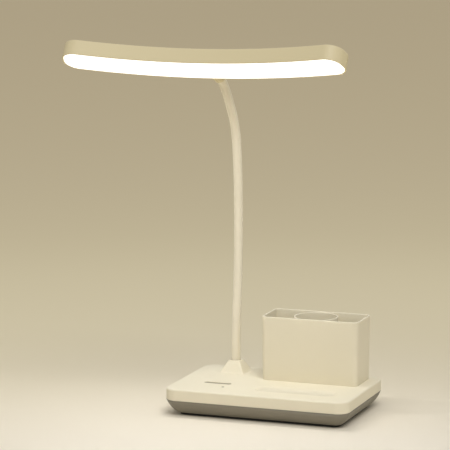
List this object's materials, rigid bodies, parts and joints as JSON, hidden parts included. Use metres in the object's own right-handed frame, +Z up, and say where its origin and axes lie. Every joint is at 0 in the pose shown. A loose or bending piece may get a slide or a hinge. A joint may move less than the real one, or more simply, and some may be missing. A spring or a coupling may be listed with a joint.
{
  "type": "desk lamp with pen holder base",
  "caption": "Cream battery desk lamp: a curved light bar on a bendable neck over a two-tone base with a shallow pen tray and a pen holder with round and square compartments.",
  "frame": {"origin": "middle of the base's footprint, on the desk", "axes": "+X along the base to the user's right, +Y away from the user, +Z up"},
  "size_m": [0.3162, 0.1375, 0.3932],
  "materials": {
    "cream_shell": "fine satin moulded plastic",
    "grey_shell": "matt warm grey moulded plastic",
    "neck_skin": "smooth soft sleeve",
    "neck_coil": "wound steel core",
    "lead": "black insulated wire",
    "foot_rubber": "dark non-slip rubber",
    "steel": "plain steel",
    "nickel": "nickel plated",
    "cell_wrap": "shrink wrapped cell",
    "circuit_board": "green solder mask",
    "white_board": "white solder mask",
    "chip": "black chip housing",
    "led_chip": "light chips",
    "foam": "conductive foam",
    "smoked_window": "smoked light window",
    "lens": "clear light pipe",
    "aluminium_strip": "extruded strip",
    "diffuser_milk": "milky lit panel"
  },
  "bodies": {
    "base": {"top_cover": "cream_shell", "bottom_shell": "grey_shell", "foot_mat": "foot_rubber", "ballast_plate": "steel", "base_screws": "steel", "battery_cell": "cell_wrap", "battery_lead": "lead", "control_board": "circuit_board", "board_chips": "chip", "signal_lights": "led_chip", "touch_pads": "foam", "light_window": "smoked_window", "status_lens": "lens", "charge_board": "circuit_board", "usb_socket": "nickel", "charge_lead": "lead", "lamp_lead": "lead", "board_screws": "steel", "neck_plate": "steel", "neck_plate_screws": "steel", "neck_ferrule": "nickel", "neck_washer": "nickel", "neck_nut": "nickel", "neck_sleeve_1": "neck_skin", "neck_core_1": "neck_coil", "neck_lead_1": "lead"},
    "neck_link_2": {"neck_sleeve_2": "neck_skin", "neck_core_2": "neck_coil", "neck_lead_2": "lead"},
    "neck_link_3": {"neck_sleeve_3": "neck_skin", "neck_core_3": "neck_coil", "neck_lead_3": "lead"},
    "neck_link_4": {"neck_sleeve_4": "neck_skin", "neck_core_4": "neck_coil", "neck_lead_4": "lead"},
    "neck_link_5": {"neck_sleeve_5": "neck_skin", "neck_core_5": "neck_coil", "neck_lead_5": "lead"},
    "neck_link_6": {"neck_sleeve_6": "neck_skin", "neck_core_6": "neck_coil", "neck_lead_6": "lead"},
    "neck_link_7": {"neck_sleeve_7": "neck_skin", "neck_core_7": "neck_coil", "neck_lead_7": "lead"},
    "head": {"head_cover": "cream_shell", "head_ferrule": "nickel", "head_washer": "nickel", "head_nut": "nickel", "heat_strip": "aluminium_strip", "led_board": "white_board", "leds": "led_chip", "strip_screws": "steel", "diffuser": "diffuser_milk", "head_plug": "lens", "neck_sleeve_8": "neck_skin", "neck_core_8": "neck_coil", "neck_lead_8": "lead"},
    "holder": {"pen_holder": "cream_shell"}
  },
  "joints": [
    {"name": "neck_lower_lean", "type": "hinge", "parent": "base", "child": "neck_link_2", "pos_m": [-0.0576, 0.03967, 0.06749], "axis": [1, 0, 0], "range_deg": [-15, 25]},
    {"name": "neck_side_lean_low", "type": "hinge", "parent": "neck_link_2", "child": "neck_link_3", "pos_m": [-0.0576, 0.04339, 0.11174], "axis": [0, 0.9949, -0.1008], "range_deg": [-15, 15]},
    {"name": "neck_lower_lean_follow", "type": "hinge", "parent": "neck_link_3", "child": "neck_link_4", "pos_m": [-0.0576, 0.04661, 0.15604], "axis": [1, 0, 0], "range_deg": [-15, 25]},
    {"name": "neck_side_lean_mid", "type": "hinge", "parent": "neck_link_4", "child": "neck_link_5", "pos_m": [-0.0576, 0.04725, 0.20044], "axis": [0, 0.9999, 0.0151], "range_deg": [-15, 15]},
    {"name": "neck_upper_lean", "type": "hinge", "parent": "neck_link_5", "child": "neck_link_6", "pos_m": [-0.0576, 0.04521, 0.2448], "axis": [1, 0, 0], "range_deg": [-22, 22]},
    {"name": "neck_side_lean_high", "type": "hinge", "parent": "neck_link_6", "child": "neck_link_7", "pos_m": [-0.0576, 0.03816, 0.28858], "axis": [0, 0.9498, 0.3127], "range_deg": [-15, 15]},
    {"name": "neck_upper_lean_follow", "type": "hinge", "parent": "neck_link_7", "child": "head", "pos_m": [-0.0576, 0.01537, 0.3264], "axis": [1, 0, 0], "range_deg": [-22, 22]},
    {"name": "pen_holder_lift", "type": "slide", "parent": "base", "child": "holder", "axis": [0, 0, 1], "range_m": [0, 0.08]}
  ],
  "couplings": [
    {"joint": "neck_lower_lean_follow", "follows": "neck_lower_lean", "ratio": 1},
    {"joint": "neck_upper_lean_follow", "follows": "neck_upper_lean", "ratio": 1},
    {"joint": "neck_side_lean_mid", "follows": "neck_side_lean_low", "ratio": 1},
    {"joint": "neck_side_lean_high", "follows": "neck_side_lean_low", "ratio": 1}
  ]
}
